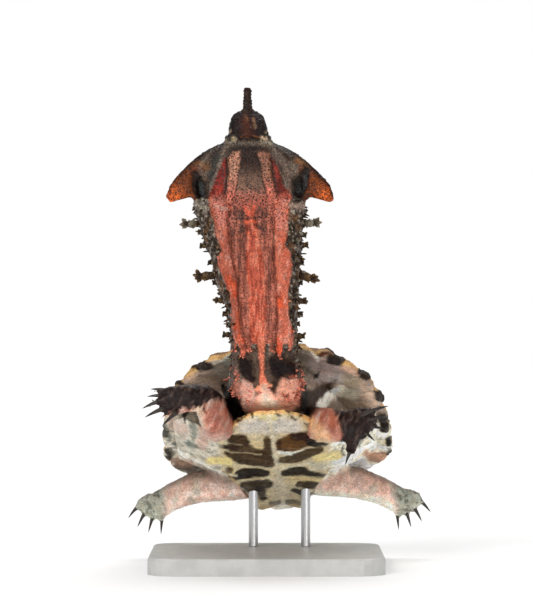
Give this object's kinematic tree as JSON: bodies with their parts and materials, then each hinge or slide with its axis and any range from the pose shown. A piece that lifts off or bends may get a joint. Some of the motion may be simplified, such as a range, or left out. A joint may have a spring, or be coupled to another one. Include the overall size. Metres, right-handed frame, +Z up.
{
  "type": "mata mata turtle",
  "caption": "Young mata mata turtle, life size, belly to the front and neck stretched up, held on a flat display stand by two rods.",
  "frame": {"origin": "centre of the stand's underside", "axes": "+Z up; -Y is the side the belly, throat and camera are on; +X is the animal's left"},
  "size_m": [0.1293, 0.1395, 0.1954],
  "materials": {
    "skin": "satin",
    "shell_horn": "satin",
    "claw": "satin",
    "eye": "gloss",
    "stand_base": "satin",
    "stand_rod": "satin"
  },
  "bodies": {
    "root": {"carapace": "shell_horn", "eye_left": "eye", "eye_right": "eye", "foot_left": "skin", "foot_right": "skin", "forearm_left": "skin", "forearm_right": "skin", "hand_left": "skin", "hand_right": "skin", "head": "skin", "head_flap_left": "skin", "head_flap_right": "skin", "lower_jaw": "skin", "neck_lower": "skin", "neck_middle": "skin", "neck_upper": "skin", "plastron": "shell_horn", "shank_left": "skin", "shank_right": "skin", "snorkel": "skin", "stand_base": "stand_base", "stand_rod_left": "stand_rod", "stand_rod_right": "stand_rod", "tail": "skin", "thigh_left": "skin", "thigh_right": "skin", "torso": "skin", "upper_arm_left": "skin", "upper_arm_right": "skin"}
  },
  "joints": []
}
